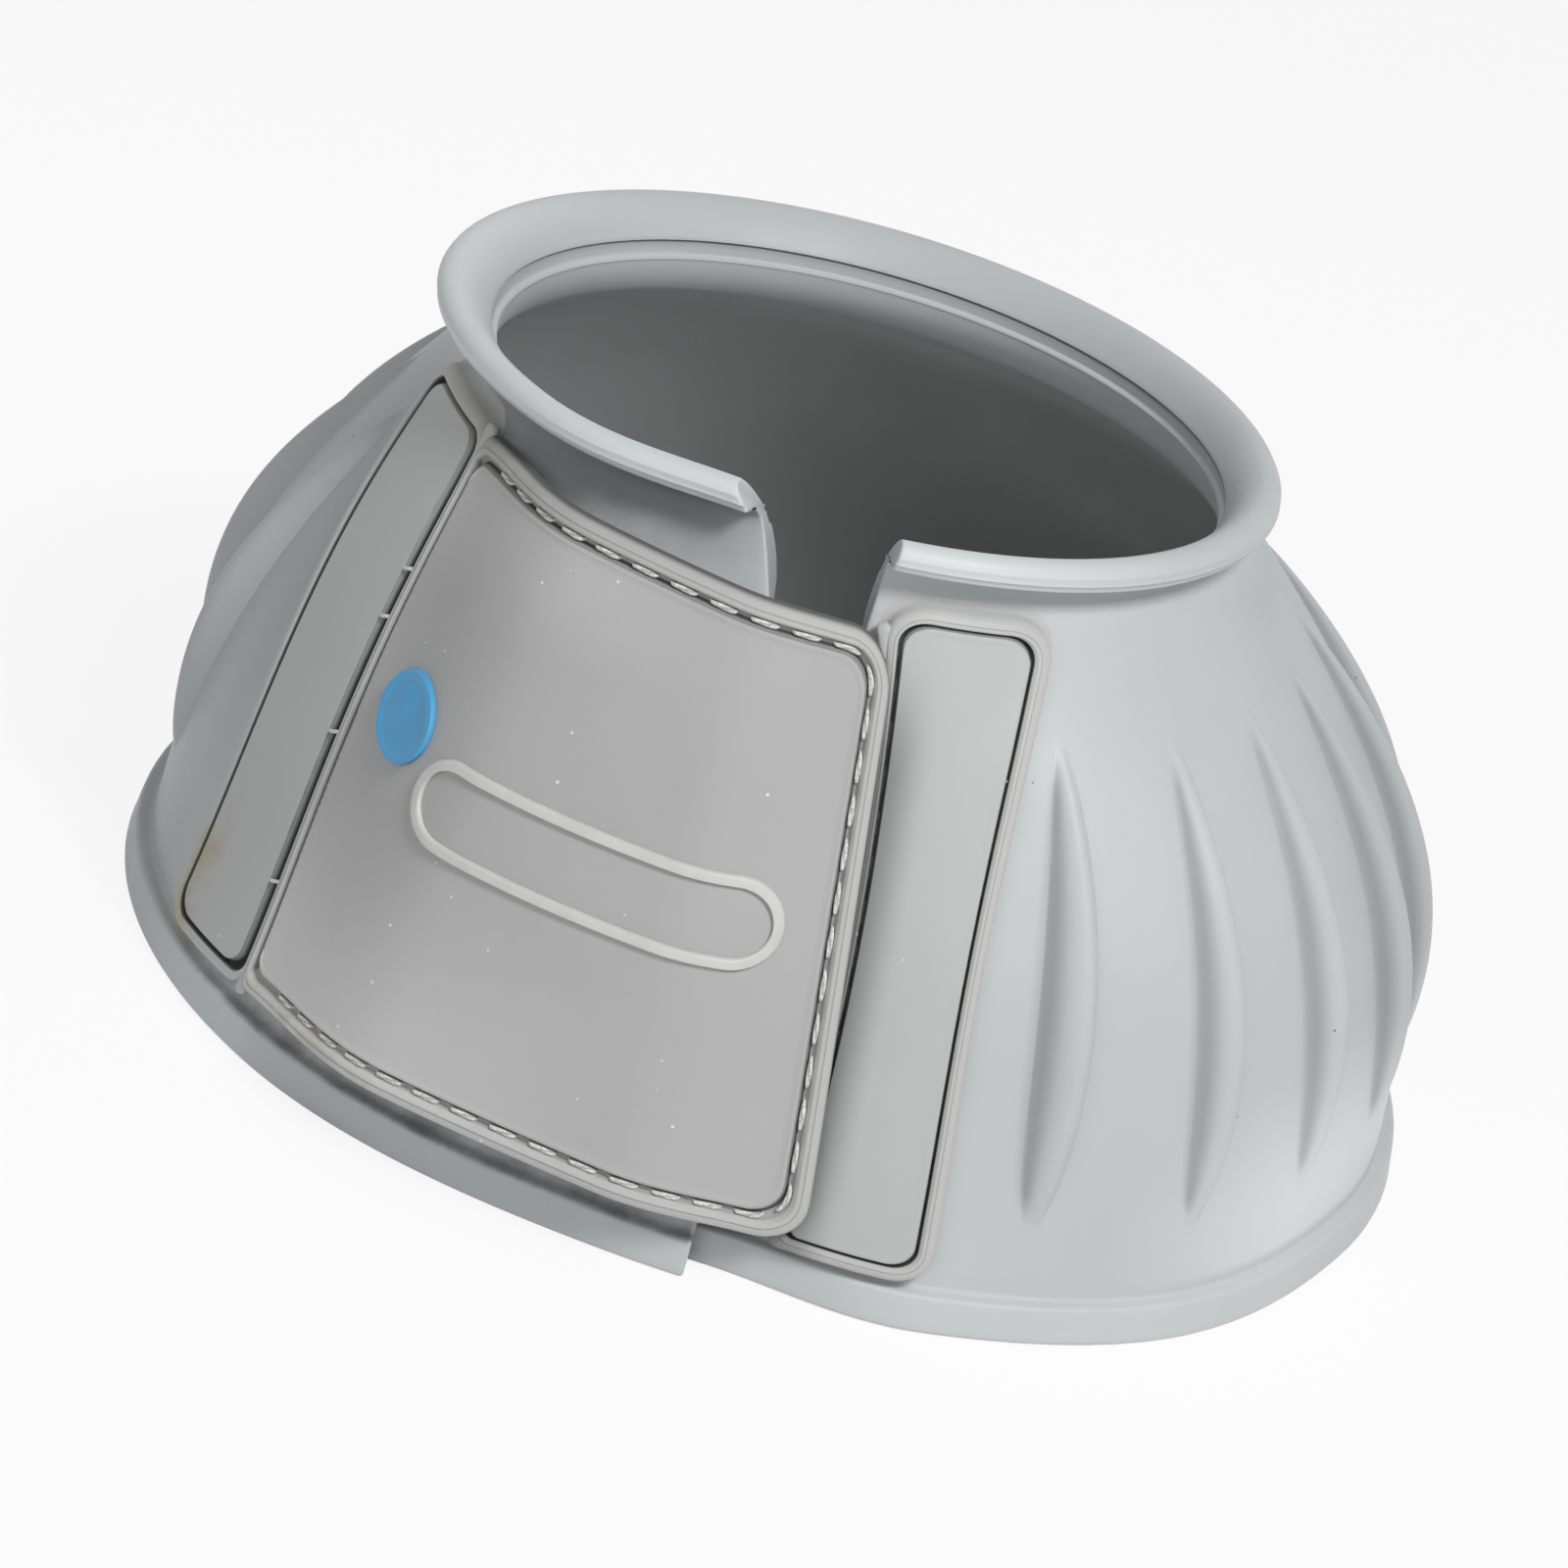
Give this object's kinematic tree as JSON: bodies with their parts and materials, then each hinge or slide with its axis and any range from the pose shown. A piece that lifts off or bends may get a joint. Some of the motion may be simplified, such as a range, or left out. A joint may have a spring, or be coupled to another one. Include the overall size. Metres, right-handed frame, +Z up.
{
  "type": "overreach boot",
  "caption": "Light grey moulded rubber bell boot for a horse's pastern and heel, split at the front and closed by double touch-close flaps.",
  "frame": {"origin": "on the ground plane under the middle of the boot, where its hem stands", "axes": "+Z up along the pastern, -Y towards the split and its flaps, +X to the boot's right side as seen from the split"},
  "size_m": [0.1718, 0.1742, 0.0871],
  "materials": {
    "shell_rubber": "satin moulded",
    "strip_rubber": "satin moulded",
    "flap_rubber": "matt fine-grained",
    "seam_thread": "twisted thread",
    "loop_pile": "brushed pile",
    "hook_tape": "hooked",
    "badge_blue": "satin",
    "badge_pale": "satin"
  },
  "bodies": {
    "boot": {"bell_shell": "shell_rubber", "outer_flap_strip": "strip_rubber", "outer_strip_thread": "seam_thread", "inner_flap_strip": "strip_rubber", "inner_strip_thread": "seam_thread", "shell_loop_pad": "loop_pile"},
    "inner_flap": {"inner_flap_panel": "flap_rubber", "inner_flap_thread": "seam_thread", "inner_flap_hook_pad": "hook_tape", "inner_flap_loop_pad": "loop_pile"},
    "outer_flap": {"outer_flap_panel": "flap_rubber", "outer_flap_thread": "seam_thread", "outer_flap_hook_pad": "hook_tape", "badge_disc": "badge_blue", "badge_frame": "badge_pale"}
  },
  "joints": [
    {"name": "outer_flap_fold", "type": "hinge", "parent": "boot", "child": "outer_flap", "pos_m": [-0.05994, -0.04719, 0.0425], "axis": [-0.14, -0.3315, -0.933], "range_deg": [0, 150]},
    {"name": "inner_flap_fold", "type": "hinge", "parent": "boot", "child": "inner_flap", "pos_m": [0.00588, -0.07073, 0.04272], "axis": [-0.0973, 0.3601, 0.9278], "range_deg": [0, 75]}
  ],
  "couplings": [
    {"joint": "inner_flap_fold", "follows": "outer_flap_fold", "ratio": 0.5}
  ]
}
